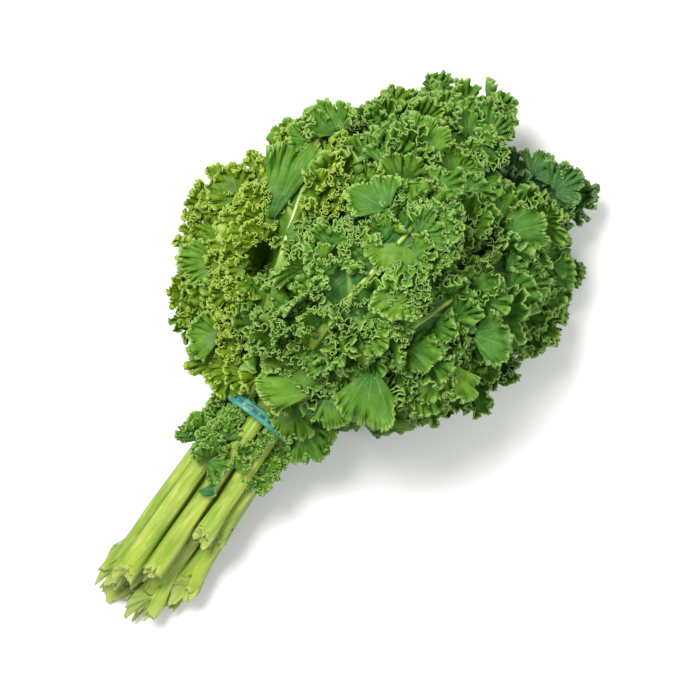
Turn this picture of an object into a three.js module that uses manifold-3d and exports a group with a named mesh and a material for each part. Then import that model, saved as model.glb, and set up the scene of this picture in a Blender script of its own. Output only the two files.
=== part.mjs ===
// A bunch of curly kale lying on its side on a table. Each leaf is a fleshy stalk, which runs on as the
// midrib, and a blade on both sides of it. A wire twist tie gathers the stalks. Small leaflets grow on the
// stalks below it.
// Millimetres, +Z up, X along the bunch from the cut ends to the leaf tips, floor at z = 0.
import * as THREE from "three";
import { mergeVertices } from "three/addons/utils/BufferGeometryUtils.js";
import Module from "manifold-3d";

const wasm = await Module();
wasm.setup();

// ---- Driving dimensions. The middle of the tie is at x = 0 and y = 0 until the group is centred. ----
const GAP = 0.35; // clearance between neighbouring pieces
// The crown's middle, half length, half width, top, height at its rim, and how round its dome is.
const CROWN = { x: 139, y: 4, length: 136, width: 131, height: 166, rim: 44, bulge: 0.62 };
// Near the tie the crown's underside rises to this far below the tie's middle, its layers are at least this
// deep together, and the rise is over this length.
const NECK = { below: 22, depth: 36, length: 55 };
// The tie's height, the ellipse of the bundle inside it, the band's width and thickness, and the wire's
// radius.
const TIE = { z: 46, halfWidth: 32.6, halfHeight: 26, band: 8.6, thick: 0.8, wire: 0.4 };
const TWIST = { length: 20, turns: 1.75, width: 5, thick: 2 }; // the band's two ends, twisted together
// A stalk at the tie and at the tip of its midrib, the height between rows, and the lowest row's height at
// its cut ends.
const STALK = {
  halfWidth: 6.6, halfThick: 4.85, tipHalfWidth: 1.6, tipHalfThick: 1.4, rowPitch: 10.6, foot: 5.6,
};
const RIB_SHARE = 0.88; // how far along the leaf's plan its midrib runs
const TIP_MARGIN = 14; // how far a blade runs past the end of its leaf's plan
const SHEET = 7; // depth of a blade's ruffled sheet
const SHARE = 0.78; // the most of its layer that a sheet fills, which keeps neighbours clear on the slopes
const LEAN = 0.06; // sideways lean of the stalk bundle below the tie
const SPREAD = 0.18; // how much wider the bundle is at its cut ends than at the tie
const BUNDLE = 160; // length over which the bundle leans and spreads

// One leaf a row, from the lowest layer to the highest. row and slot (mm from the middle) place its stalk in
// the tie. turn (degrees from +X, round the crown's middle) and reach (share of the crown's radius) place its
// tip. half is the blade's half width, start where the blade begins, and cut how far below the tie the stalk
// ends.
const LEAVES = [
  { row: 0, slot: 0, turn: 0, reach: 0.9, half: 66, start: 40, cut: 158 },
  { row: 0, slot: -14, turn: -54, reach: 0.98, half: 44, start: 46, cut: 149 },
  { row: 0, slot: 14, turn: 62, reach: 0.73, half: 56, start: 22, cut: 162 },
  { row: 1, slot: -21, turn: -74, reach: 0.8, half: 28, start: 54, cut: 136 },
  { row: 1, slot: 21, turn: 120, reach: 0.74, half: 45, start: 20, cut: 151 },
  { row: 1, slot: -7, turn: -27, reach: 1.08, half: 58, start: 38, cut: 160 },
  { row: 1, slot: 7, turn: 19, reach: 0.96, half: 60, start: 34, cut: 143 },
  { row: 2, slot: -21, turn: -62, reach: 0.88, half: 39, start: 44, cut: 92 },
  { row: 2, slot: 21, turn: 95, reach: 0.84, half: 52, start: 20, cut: 156 },
  { row: 2, slot: -7, turn: -42, reach: 0.9, half: 56, start: 38, cut: 97 },
  { row: 2, slot: 7, turn: 2, reach: 1.0, half: 60, start: 38, cut: 128 },
  { row: 3, slot: 14, turn: 64, reach: 0.66, half: 54, start: 16, cut: 150 },
  { row: 3, slot: -14, turn: -68, reach: 0.58, half: 40, start: 38, cut: 95 },
  { row: 3, slot: 0, turn: -16, reach: 0.4, half: 50, start: 34, cut: 135 },
];
const LAYERS = LEAVES.length;
const ROWS_BELOW_MIDDLE = 1.5; // rows between the lowest row of stalks and the tie's middle

// Leaflets on the stalks below the tie: the leaf whose stalk carries it, where along it, how far to the side,
// and its size.
const LEAFLETS = [
  { leaf: 11, x: -36, side: 6, length: 44, width: 24, rise: 4 },
  { leaf: 8, x: -34, side: 12, length: 34, width: 20, rise: 5 },
  { leaf: 12, x: -32, side: -3, length: 34, width: 22, rise: 4 },
  { leaf: 7, x: -30, side: -12, length: 30, width: 18, rise: 5 },
  { leaf: 13, x: -68, side: 0, length: 14, width: 7, rise: 2.5 },
];

// ---- Colours ----
const green = (hex, roughness) => new THREE.MeshStandardMaterial({ color: hex, roughness, metalness: 0 });
const bladeGreen = green(0x4f8a2c, 0.55);
const stalkGreen = green(0xa9c86a, 0.45);
const tieTeal = green(0x1f9c8c, 0.5);
const wireGrey = new THREE.MeshStandardMaterial({ color: 0x9a9a98, roughness: 0.4, metalness: 0.8 });

// ---- Helpers ----
const { smoothstep, lerp, degToRad, clamp } = THREE.MathUtils;

/** Moves every vertex of a geometry to where place(vertex) puts it. */
function shaped(geometry, place) {
  const position = geometry.attributes.position;
  const vertex = new THREE.Vector3();
  for (let i = 0; i < position.count; i++) {
    place(vertex.fromBufferAttribute(position, i));
    position.setXYZ(i, vertex.x, vertex.y, vertex.z);
  }
  return geometry;
}

/** A closed geometry as a solid for boolean cuts. */
function solidOf(geometry) {
  const bare = geometry.clone();
  bare.deleteAttribute("normal");
  bare.deleteAttribute("uv");
  const merged = mergeVertices(bare, 1e-3);
  const triVerts = new Uint32Array(merged.index.array);
  return new wasm.Manifold(
    new wasm.Mesh({ numProp: 3, vertProperties: merged.attributes.position.array, triVerts }),
  );
}

/** A solid's largest body as a geometry; a cut can leave a crumb beside it. */
function geometryOf(solid) {
  const largest = solid.decompose().reduce((a, b) => (a.volume() > b.volume() ? a : b));
  const { numProp, numVert, vertProperties, triVerts } = largest.getMesh();
  const points = new Float32Array(numVert * 3);
  for (let i = 0; i < numVert; i++) {
    points.set(vertProperties.subarray(i * numProp, i * numProp + 3), i * 3);
  }
  const geometry = new THREE.BufferGeometry();
  geometry.setAttribute("position", new THREE.BufferAttribute(points, 3));
  geometry.setIndex(new THREE.BufferAttribute(triVerts, 1));
  geometry.computeVertexNormals();
  return geometry;
}

// ---- The crown's layers: a dome with a flat underside, cut into one layer for each leaf ----
const underside = (x) => (TIE.z - NECK.below) * (1 - smoothstep(x, 0, NECK.length));

function dome(x, y) {
  const out = Math.min(1, Math.hypot((x - CROWN.x) / CROWN.length, (y - CROWN.y) / CROWN.width));
  const top = CROWN.rim + (CROWN.height - CROWN.rim) * (1 - out * out) ** CROWN.bulge;
  return Math.max(top, underside(x) + NECK.depth);
}

/** The lowest and highest z of a leaf's sheet above a point of the floor plan. */
function sheetAt(layer, x, y) {
  const low = underside(x);
  const depth = (dome(x, y) - low) / LAYERS;
  const bottom = low + layer * depth + (layer === 0 ? 0 : GAP / 2);
  return { bottom, top: bottom + Math.min(SHEET, depth * SHARE) };
}

// ---- Stalks ----
/** A leaf's tip in the floor plan. */
function tipOf({ turn, reach }) {
  const angle = degToRad(turn);
  return new THREE.Vector2(
    CROWN.x + Math.cos(angle) * reach * CROWN.length,
    CROWN.y + Math.sin(angle) * reach * CROWN.width,
  );
}

/** The floor plan of the stalk above the tie: it leaves the tie along +X and turns towards its tip. */
function planOf(leaf) {
  const tip = tipOf(leaf);
  const run = tip.length();
  return new THREE.CubicBezierCurve(
    new THREE.Vector2(0, leaf.slot),
    new THREE.Vector2(run * 0.22, leaf.slot * 1.75),
    new THREE.Vector2(tip.x * 0.55, tip.y * 0.72),
    tip,
  );
}

/** The stalk's middle line from its cut end, through the tie, to the tip of the midrib. */
function stalkCurve(leaf, layer) {
  const plan = planOf(leaf);
  const rowZ = (leaf.row - ROWS_BELOW_MIDDLE) * STALK.rowPitch;
  const points = [];
  const below = Math.round(leaf.cut / 24);
  for (let i = below; i > 0; i--) {
    const x = (-leaf.cut * i) / below;
    const share = -x / BUNDLE;
    const y = leaf.slot * (1 + SPREAD * share) + LEAN * x;
    const z = lerp(TIE.z, STALK.foot + ROWS_BELOW_MIDDLE * STALK.rowPitch, share) + rowZ;
    points.push(new THREE.Vector3(x, y, z));
  }
  const above = 9;
  for (let i = 0; i <= above; i++) {
    const p = plan.getPoint((RIB_SHARE * i) / above);
    const sheet = sheetAt(layer, p.x, p.y);
    const lifted = smoothstep(p.x, 0, 72);
    const z = lerp(TIE.z + rowZ, (sheet.bottom + sheet.top) / 2, lifted);
    const clearOfFloor = sectionAt(p.x, RIB_SHARE * tipOf(leaf).x).thick + GAP;
    points.push(new THREE.Vector3(p.x, p.y, Math.max(z, clearOfFloor)));
  }
  return new THREE.CatmullRomCurve3(points);
}

/** Half width and half thickness of a stalk, as it thins from the tie to the tip of its midrib. */
function sectionAt(x, tipX) {
  const thin = smoothstep(x, 10, Math.max(tipX * 0.85, 60));
  const flare = 1 + 0.1 * smoothstep(-x, 60, 150);
  return {
    width: lerp(STALK.halfWidth * flare, STALK.tipHalfWidth, thin),
    thick: lerp(STALK.halfThick, STALK.tipHalfThick, thin),
  };
}

/** A tapered stalk along its curve: a cylinder bent to the curve, grown by extra on every side. */
function stalkGeometry(leaf, layer, extra = 0) {
  const curve = stalkCurve(leaf, layer);
  const end = curve.getPoint(1).x;
  const up = new THREE.Vector3(0, 0, 1);
  const sides = 8;
  const steps = 14;
  return shaped(new THREE.CylinderGeometry(1, 1, 1, sides, steps), (v) => {
    const along = clamp(v.y + 0.5, 0, 1);
    const centre = curve.getPointAt(along);
    const tangent = curve.getTangentAt(along);
    const side = new THREE.Vector3().crossVectors(tangent, up).normalize();
    const top = new THREE.Vector3().crossVectors(side, tangent);
    const section = sectionAt(centre.x, end);
    const across = v.x * (section.width + extra);
    const high = v.z * (section.thick + extra);
    const cap = Math.abs(v.y) > 0.49 ? Math.sign(v.y) * extra : 0;
    v.copy(centre).addScaledVector(tangent, cap);
    v.addScaledVector(side, across).addScaledVector(top, high);
  });
}

// ---- Blades ----
/** A blade's half width as a share of its widest, from its base (0) to its tip (1), with a lobed margin. */
function outline(s) {
  const body = Math.sin(Math.PI * (0.07 + 0.85 * s)) ** 0.7;
  const lobes = 1 + 0.07 * Math.sin(2 * Math.PI * 3.5 * s);
  return body * lobes;
}

/** A blade: a box bent to the leaf's outline and laid between the two faces of its own layer. */
function bladeGeometry(leaf, layer) {
  const plan = planOf(leaf);
  const tip = tipOf(leaf);
  const first = leaf.start / tip.length();
  return shaped(new THREE.BoxGeometry(1, 1, 1, 12, 6, 1), (v) => {
    const s = v.x + 0.5;
    const onRib = plan.getPoint(lerp(first, 1, s));
    const ahead = plan.getTangent(lerp(first, 1, s));
    const past = TIP_MARGIN * smoothstep(s, 0.8, 1) * (1 - 1.6 * v.y * v.y);
    const offset = 2 * v.y * leaf.half * outline(s);
    const x = onRib.x + ahead.x * past - ahead.y * offset;
    const y = onRib.y + ahead.y * past + ahead.x * offset;
    const sheet = sheetAt(layer, x, y);
    v.set(x, y, v.z < 0 ? sheet.bottom : sheet.top);
  });
}

/** A leaflet: a small crinkled pad that rests on its stalk and leans out to one side. */
function leafletGeometry({ leaf, x, side, length, width, rise }) {
  const curve = stalkCurve(LEAVES[leaf], leaf);
  const share = (p) => (p + LEAVES[leaf].cut) / (LEAVES[leaf].cut + curve.getPoint(1).x);
  const centre = curve.getPointAt(share(x) * 0.97);
  const base = centre.z + STALK.halfThick + GAP;
  return shaped(new THREE.BoxGeometry(1, 1, 1, 6, 4, 1), (v) => {
    const round = Math.sqrt(Math.max(0.12, 1 - 3.4 * v.x * v.x));
    const across = v.y * width * round;
    const droop = 0.012 * across * across;
    const crinkle = 1.2 * Math.sin(2 * Math.PI * 2 * v.x);
    const depth = v.z < 0 ? 0 : rise;
    const slope = (TIE.z - STALK.foot - 16) / BUNDLE;
    v.set(
      centre.x + v.x * length,
      centre.y + side + across,
      base + v.x * length * slope - droop + Math.abs(crinkle) + depth,
    );
  });
}

// ---- Twist tie: a flat band round the stalks, its wire behind the band, and the two ends twisted ----
function ellipseShape(halfWidth, halfHeight) {
  return new THREE.Shape().absellipse(0, 0, halfWidth, halfHeight, 0, 2 * Math.PI);
}

/** A ring between two ellipses, centred on the tie, its depth along X. */
function ringGeometry(inner, outer, depth) {
  const shape = ellipseShape(TIE.halfWidth + outer, TIE.halfHeight + outer);
  shape.holes.push(ellipseShape(TIE.halfWidth + inner, TIE.halfHeight + inner));
  const ring = new THREE.ExtrudeGeometry(shape, { depth, bevelEnabled: false, curveSegments: 13 });
  ring.translate(0, 0, -depth / 2);
  // The ellipse's own axes become Y and Z, and the extrusion runs along X.
  return shaped(ring, (v) => v.set(v.z, v.x, v.y + TIE.z));
}

/** The two ends of the band, twisted together and pointing down and out. */
function twistGeometry() {
  const start = new THREE.Vector3(0, -TIE.halfWidth - 1.6, TIE.z);
  const along = new THREE.Vector3(-0.1, -0.5, -0.86).normalize();
  const side = new THREE.Vector3(1, 0, 0).cross(along).normalize();
  const front = new THREE.Vector3().crossVectors(along, side);
  return shaped(new THREE.BoxGeometry(TWIST.thick, TWIST.width, TWIST.length, 1, 1, 14), (v) => {
    const angle = (v.z / TWIST.length + 0.5) * TWIST.turns * 2 * Math.PI;
    const a = v.x * Math.cos(angle) - v.y * Math.sin(angle);
    const b = v.x * Math.sin(angle) + v.y * Math.cos(angle);
    const down = v.z + TWIST.length / 2;
    v.copy(start).addScaledVector(along, down).addScaledVector(side, b).addScaledVector(front, -a);
  });
}

// ---- Assembly ----
const group = new THREE.Group();

function add(name, geometry, material) {
  const mesh = new THREE.Mesh(geometry, material);
  mesh.name = name;
  group.add(mesh);
}

const number = (i) => String(i + 1).padStart(2, "0");
const clearances = LEAVES.map((leaf, i) => solidOf(stalkGeometry(leaf, i, GAP)));

LEAVES.forEach((leaf, i) => add(`stalk_${number(i)}`, stalkGeometry(leaf, i), stalkGreen));

LEAVES.forEach((leaf, i) => {
  const cut = clearances.reduce((blade, stalk) => blade.subtract(stalk), solidOf(bladeGeometry(leaf, i)));
  add(`blade_${number(i)}`, geometryOf(cut), bladeGreen);
});

const wireRing = [GAP, GAP + 2 * TIE.wire];
const bandRing = [wireRing[1] + GAP, wireRing[1] + GAP + TIE.thick];
const band = solidOf(ringGeometry(...bandRing, TIE.band)).add(solidOf(twistGeometry()));
add("tie_band", geometryOf(band.subtract(solidOf(ringGeometry(0, bandRing[0], 2 * TIE.band)))), tieTeal);
add("tie_wire", ringGeometry(...wireRing, 2 * TIE.wire), wireGrey);

LEAFLETS.forEach((leaflet, i) => {
  const cut = clearances.reduce((pad, stalk) => pad.subtract(stalk), solidOf(leafletGeometry(leaflet)));
  add(`leaflet_${number(i)}`, geometryOf(cut), bladeGreen);
});

// The origin is at the middle of the underside of the bunch's own box.
const box = new THREE.Box3().setFromObject(group, true);
const middle = box.getCenter(new THREE.Vector3());
group.position.set(-middle.x, -middle.y, -box.min.z);

export default group;
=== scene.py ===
# %% [markdown]
# # A bunch of curly kale
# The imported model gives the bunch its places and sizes: stalks, plain pads for the leaf blades, and the tie.
# This lesson makes the fine surfaces around it: ruffled leaves, ridged stalks, small leaflets and a twist
# tie. Every surface is a function of two parameters on a grid, worked out with numpy and then put into a
# mesh.

# %% Load the frame
import math

import bpy
import numpy as np
from mathutils import Matrix, Vector
from mathutils.bvhtree import BVHTree


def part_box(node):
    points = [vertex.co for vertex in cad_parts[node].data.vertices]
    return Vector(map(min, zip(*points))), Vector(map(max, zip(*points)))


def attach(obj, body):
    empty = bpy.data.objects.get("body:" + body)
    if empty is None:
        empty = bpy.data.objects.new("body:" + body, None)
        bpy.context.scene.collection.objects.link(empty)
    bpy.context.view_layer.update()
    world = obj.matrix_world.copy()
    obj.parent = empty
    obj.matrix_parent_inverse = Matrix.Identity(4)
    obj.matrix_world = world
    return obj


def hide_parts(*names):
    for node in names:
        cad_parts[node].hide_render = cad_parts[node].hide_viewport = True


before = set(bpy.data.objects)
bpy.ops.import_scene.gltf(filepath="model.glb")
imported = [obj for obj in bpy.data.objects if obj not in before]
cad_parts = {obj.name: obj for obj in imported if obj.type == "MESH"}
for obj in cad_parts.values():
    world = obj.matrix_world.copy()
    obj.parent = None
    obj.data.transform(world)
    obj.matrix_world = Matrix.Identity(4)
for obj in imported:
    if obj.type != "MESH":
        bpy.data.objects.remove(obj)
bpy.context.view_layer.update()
MM = 0.001

# %% [markdown]
# ## Camera, floor and light
# The bunch lies on a pale floor and the camera looks down on it, turned so that the stalks point to the lower
# left. A long lens keeps the perspective weak. One large soft lamp from the upper left and a bright pale
# world give an open, even light, and leave the gaps between the ruffles dark.

# %% Camera
BUNCH_TURN = math.radians(52)  # how far +X points above the right-hand side of the view
FIELD = 492 * MM  # width of the view at the height of the crown's middle
CAMERA_DISTANCE = 1.7
CAMERA_TILT = math.radians(5)
SENSOR_WIDTH = 36
tie_low, tie_high = (Vector(corner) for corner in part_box("tie_wire"))
tie_middle = (tie_low + tie_high) / 2
tie_size = tie_high - tie_low
# The middle of the bunch, seen from the tie.
LOOK_AT = Vector((tie_middle.x + 75 * MM, tie_middle.y - 23 * MM, 80 * MM))

right = Vector((math.cos(BUNCH_TURN), -math.sin(BUNCH_TURN), 0))
up = Vector((math.sin(BUNCH_TURN), math.cos(BUNCH_TURN), 0))
back = Vector((0, 0, math.cos(CAMERA_TILT))) - up * math.sin(CAMERA_TILT)
camera_data = bpy.data.cameras.new("camera")
camera_data.sensor_width = SENSOR_WIDTH
camera_data.lens = SENSOR_WIDTH * CAMERA_DISTANCE / FIELD
camera_data.clip_start = 0.05
camera = bpy.data.objects.new("camera", camera_data)
bpy.context.collection.objects.link(camera)
axes = Matrix((right, back.cross(right), back)).transposed()
camera.matrix_world = Matrix.Translation(LOOK_AT + back * CAMERA_DISTANCE) @ axes.to_4x4()
bpy.context.scene.camera = camera
print("lens in mm:", round(camera_data.lens))


# %% Floor and lamps
def area_lamp(name, towards, distance, size, power, colour):
    """A square lamp that stands in the direction towards, and shines at the middle of the bunch."""
    data = bpy.data.lights.new(name, "AREA")
    data.shape = "SQUARE"
    data.size = size
    data.energy = power
    data.color = colour
    lamp = bpy.data.objects.new(name, data)
    bpy.context.collection.objects.link(lamp)
    lamp.location = LOOK_AT + towards.normalized() * distance
    lamp.rotation_mode = "QUATERNION"
    lamp.rotation_quaternion = towards.to_track_quat("Z", "Y")


area_lamp("key_lamp", up * 0.6 - right * 0.6 + Vector((0, 0, 1.6)), 1.6, 0.7, 38, (1.0, 0.98, 0.94))
area_lamp("fill_lamp", right * 0.9 - up * 0.6 + Vector((0, 0, 1.2)), 1.8, 1.4, 11, (0.92, 0.97, 1.0))

world = bpy.data.worlds.new("studio")
world.use_nodes = True
world.node_tree.nodes["Background"].inputs["Color"].default_value = (1.0, 0.99, 0.96, 1)
world.node_tree.nodes["Background"].inputs["Strength"].default_value = 0.62
bpy.context.scene.world = world
bpy.context.scene.view_settings.view_transform = "Standard"


# %% [markdown]
# ## Helpers for materials
# A material is a tree of nodes. Written out node by node, it is long and hard to read. The small class below
# holds a tree and gives short names to the few things that the materials use: sums, ramps, mixes, noises and
# the values that a piece carries at its points.

# %% Graph
class Graph:
    """A tree of shader nodes. Each method adds a node and returns what it puts out."""

    def __init__(self, tree):
        self.tree = tree

    def add(self, kind, values=None, **settings):
        """A new node, with its settings and the values or the links of its inputs."""
        node = self.tree.nodes.new(kind)
        for name, value in settings.items():
            setattr(node, name, value)
        for name, value in (values or {}).items():
            socket = node.inputs[name]
            if isinstance(value, bpy.types.NodeSocket):
                self.tree.links.new(value, socket)
            else:
                socket.default_value = (*value, 1) if socket.type == "RGBA" else value
        return node

    def maths(self, operation, first, second):
        """The result of one sum on two values or links."""
        return self.add("ShaderNodeMath", {0: first, 1: second}, operation=operation).outputs[0]

    def plus(self, first, second):
        """first + second"""
        return self.maths("ADD", first, second)

    def minus(self, first, second):
        """first - second"""
        return self.maths("SUBTRACT", first, second)

    def times(self, first, second):
        """first * second"""
        return self.maths("MULTIPLY", first, second)

    def ramp(self, value, low, high):
        """A value that goes smoothly from 0 at low to 1 at high."""
        values = {"Value": value, "From Min": low, "From Max": high}
        return self.add("ShaderNodeMapRange", values, interpolation_type="SMOOTHSTEP").outputs["Result"]

    def mix(self, share, first, second):
        """A colour that goes from first to second as share goes from 0 to 1. A colour mix has its share and
        its two colours in the sockets 0, 6 and 7."""
        return self.add("ShaderNodeMix", {0: share, 6: first, 7: second}, data_type="RGBA").outputs[2]

    def noise(self, place, size, detail=3.0):
        """A soft noise from 0 to 1 whose blotches are about size metres wide."""
        values = {"Vector": place, "Scale": 1 / size, "Detail": detail}
        return self.add("ShaderNodeTexNoise", values).outputs["Fac"]

    def place(self):
        """The place of a surface point in its own piece, which is its place in the bunch."""
        return self.add("ShaderNodeTexCoord").outputs["Object"]

    def attribute(self, name):
        """A value that the piece carries at each of its points."""
        return self.add("ShaderNodeAttribute", attribute_name=name).outputs["Fac"]

    def finish(self, shader):
        """Makes a shader the material's surface."""
        self.add("ShaderNodeOutputMaterial", {0: shader.outputs[0]})


def new_material(name):
    """A new material and the graph of its empty tree."""
    material = bpy.data.materials.new(name)
    material.use_nodes = True
    material.node_tree.nodes.clear()
    return material, Graph(material.node_tree)


# %% Floor
def floor_material():
    """Plain matt white card, with a trace of unevenness in its tone."""
    material, graph = new_material("floor_card")
    tone = graph.mix(graph.noise(graph.place(), 0.3), (0.86, 0.86, 0.86), (0.9, 0.9, 0.9))
    graph.finish(graph.add("ShaderNodeBsdfPrincipled", {"Base Color": tone, "Roughness": 0.9}))
    return material


FLOOR_HALF = 3.0
floor_mesh = bpy.data.meshes.new("floor")
corners = [(x * FLOOR_HALF, y * FLOOR_HALF, 0) for x, y in ((-1, -1), (1, -1), (1, 1), (-1, 1))]
floor_mesh.from_pydata(corners, [], [(0, 1, 2, 3)])
floor = bpy.data.objects.new("floor", floor_mesh)
floor.data.materials.append(floor_material())
bpy.context.collection.objects.link(floor)


# %% [markdown]
# ## Reading the frame
# The visual pieces take their places from the CAD solids. A plane across a stalk's solid cuts out a small
# ring of points, whose middle is on the stalk's centre line. A blade's solid is a thin pad, so a smooth
# surface fitted through all its points is the sheet that the leaf follows.

# %% Measure the CAD solids
def triangles_of(node):
    """A CAD node's triangles as an array of triangle, corner and coordinate, in metres."""
    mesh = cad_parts[node].data
    points = np.empty(len(mesh.vertices) * 3)
    mesh.vertices.foreach_get("co", points)
    mesh.calc_loop_triangles()
    corners = np.empty(len(mesh.loop_triangles) * 3, dtype=np.int32)
    mesh.loop_triangles.foreach_get("vertices", corners)
    return points.reshape(-1, 3)[corners].reshape(-1, 3, 3)


def cut_across(triangles, x):
    """The points where the plane at x crosses the triangles' edges: each lies on an edge with one end on each
    side, at the share of its length where the two ends' distances from the plane balance."""
    starts, ends = triangles, np.roll(triangles, -1, axis=1)
    crossing = (starts[..., 0] - x) * (ends[..., 0] - x) < 0
    starts, ends = starts[crossing], ends[crossing]
    share = (x - starts[:, 0]) / (ends[:, 0] - starts[:, 0])
    return starts + share[:, None] * (ends - starts)


def centre_line(node, count=48):
    """A stalk's centre line: the middle of each of count cuts from its lowest to its highest x."""
    triangles = triangles_of(node)
    low, high = triangles[..., 0].min(), triangles[..., 0].max()
    margin = 1.0 * MM
    rings = [cut_across(triangles, x) for x in np.linspace(low + margin, high - margin, count)]
    return np.array([(ring.min(axis=0) + ring.max(axis=0)) / 2 for ring in rings])


def fitted_sheet(node):
    """The smooth sheet through a pad: height = a sum of powers of x and y up to the fourth, fitted by least
    squares. Returns a function from x and y to the height."""
    points = triangles_of(node).reshape(-1, 3)
    middle = points.mean(axis=0)
    scale = 0.1
    powers = [(i, j) for i in range(5) for j in range(5 - i)]

    def terms(x, y):
        across, along = (x - middle[0]) / scale, (y - middle[1]) / scale
        return np.stack([across**i * along**j for i, j in powers], axis=-1)

    weights = np.linalg.lstsq(terms(points[:, 0], points[:, 1]), points[:, 2], rcond=None)[0]
    return lambda x, y: terms(x, y) @ weights


tie_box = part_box("tie_band")
TIE_X = (tie_box[0][0] + tie_box[1][0]) / 2
LEAF_COUNT = sum(name.startswith("stalk_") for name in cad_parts)
lines = {number: centre_line(f"stalk_{number:02d}") for number in range(1, LEAF_COUNT + 1)}
print(LEAF_COUNT, "leaves, tie at x =", round(TIE_X / MM, 1), "mm")

# %% [markdown]
# ## The ruffled leaf
# A curly kale leaf grows more margin than its flat outline has room for, so the margin buckles into folds,
# and the folds into finer ones. A simulation of that growth is slow. Here each size of fold is a wave along
# the margin, added to the surface that the last one left, in the direction that its sheet faces. The waves
# fade out towards the midrib, and a slow wander in their length and height keeps them from looking regular.


# %% Small curve functions
def smoothstep(value, low, high):
    """0 below low, 1 above high, and a smooth ramp between them."""
    share = np.clip((value - low) / (high - low), 0, 1)
    return share * share * (3 - 2 * share)


def wander(position, length, rng):
    """A smooth random walk from -1 to 1 along position, whose bumps are about length long: random knots
    joined by smooth ramps."""
    first = position.min()
    knots = rng.uniform(-1, 1, int(np.ceil((position.max() - first) / length)) + 3)
    place = (position - first) / length
    cell = np.floor(place).astype(int)
    ramp = smoothstep(place - cell, 0, 1)
    return knots[cell] * (1 - ramp) + knots[cell + 1] * ramp


def resampled(points, places):
    """The points of a polyline at places from 0 to 1 along its length."""
    steps = np.linalg.norm(np.diff(points, axis=0), axis=1)
    length = np.concatenate([[0], np.cumsum(steps)])
    return np.stack([np.interp(places * length[-1], length, points[:, axis]) for axis in range(3)], axis=1)


def unit(vectors):
    """Vectors scaled to length one."""
    return vectors / np.maximum(np.linalg.norm(vectors, axis=-1, keepdims=True), 1e-12)


def directions(points):
    """The unit tangents along a grid's columns, and the unit normals, from differences between neighbours."""
    along = unit(np.gradient(points, axis=1))
    outward = unit(np.gradient(points, axis=0))
    return along, unit(np.cross(outward, along))


def margin_length(points):
    """Length along the grid's outermost row, from its first column."""
    steps = np.linalg.norm(np.diff(points[-1], axis=0), axis=1)
    return np.concatenate([[0], np.cumsum(steps)])


# %% One wave along the margin
def ruffle(points, across, length, height, onset, rng, bulge=0.35, fall=1.3):
    """Adds one wave to a sheet. The phase grows with the length along the margin, and wanders. Each point
    moves by height * fade * sin(phase) along the normal, and by bulge * height * fade * sin(2 * phase) along
    the margin, which rounds each wave into a loop. The fade grows from 0 at onset to 1 at the margin."""
    place = margin_length(points)
    stretch = 1 + 0.4 * wander(place, 3.2 * length, rng)
    phase = np.cumsum(np.gradient(place) / (length * stretch)) * 2 * np.pi + rng.uniform(0, 6)
    tall = height * (1 + 0.6 * wander(place, 1.7 * length, rng))
    fade = np.clip((across - onset) / (1 - onset), 0, 1) ** fall
    along, normal = directions(points)
    lag = 2.2 * wander(place, 2.1 * length, rng) * (1 - across)
    rise = (fade * tall * np.sin(phase + lag))[..., None] * normal
    loop = (fade * tall * bulge * np.sin(2 * (phase + lag)))[..., None] * along
    return points + rise - loop


def puckers(place, out, size, rng, count=14):
    """A soft uneven field from about -1 to 1 over two lengths: a sum of plane waves in random directions,
    each size long, give or take a third."""
    turn = rng.uniform(0, 2 * np.pi, count)
    rate = 2 * np.pi / (size * rng.uniform(0.67, 1.4, count))
    start = rng.uniform(0, 2 * np.pi, count)
    field = np.zeros(np.broadcast(place, out).shape)
    for angle, speed, offset in zip(turn, rate, start):
        field += np.sin(speed * (np.cos(angle) * place + np.sin(angle) * out) + offset)
    return field * math.sqrt(2 / count) * 0.7


# %% The leaf's plan and its sheet
def leaf_rays(share, length, shape):
    """The plan of a leaf's rays. share runs from -1 at the base of one side through 0 at the tip to 1 at the
    base of the other. Each ray leaves the midrib at length * (1 - |share|), and ends on a round outline
    forward of it. Deep notches part the outline into lobes."""
    size = np.abs(share)
    root = length * (1 - size)
    base = 1 - (1 - shape["base"]) * smoothstep(size, 0.68, 1.0)
    body = (1 - (1 - size) ** 2.3) ** 0.62 * base
    notch = np.clip(np.cos(2 * np.pi * shape["lobes"] * size), 0, 1) ** 5
    reach = shape["half"] * body * (1.04 - shape["notch"] * notch)
    forward = 0.34 * shape["half"] * body + shape["tip"] * (1 - size) ** 2.5
    return root, np.sign(share) * reach, forward


PUCKER_LENGTH = 13 * MM
RIB_BLEND = 16 * MM  # how far from the midrib the sheet has come down to its pad


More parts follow.
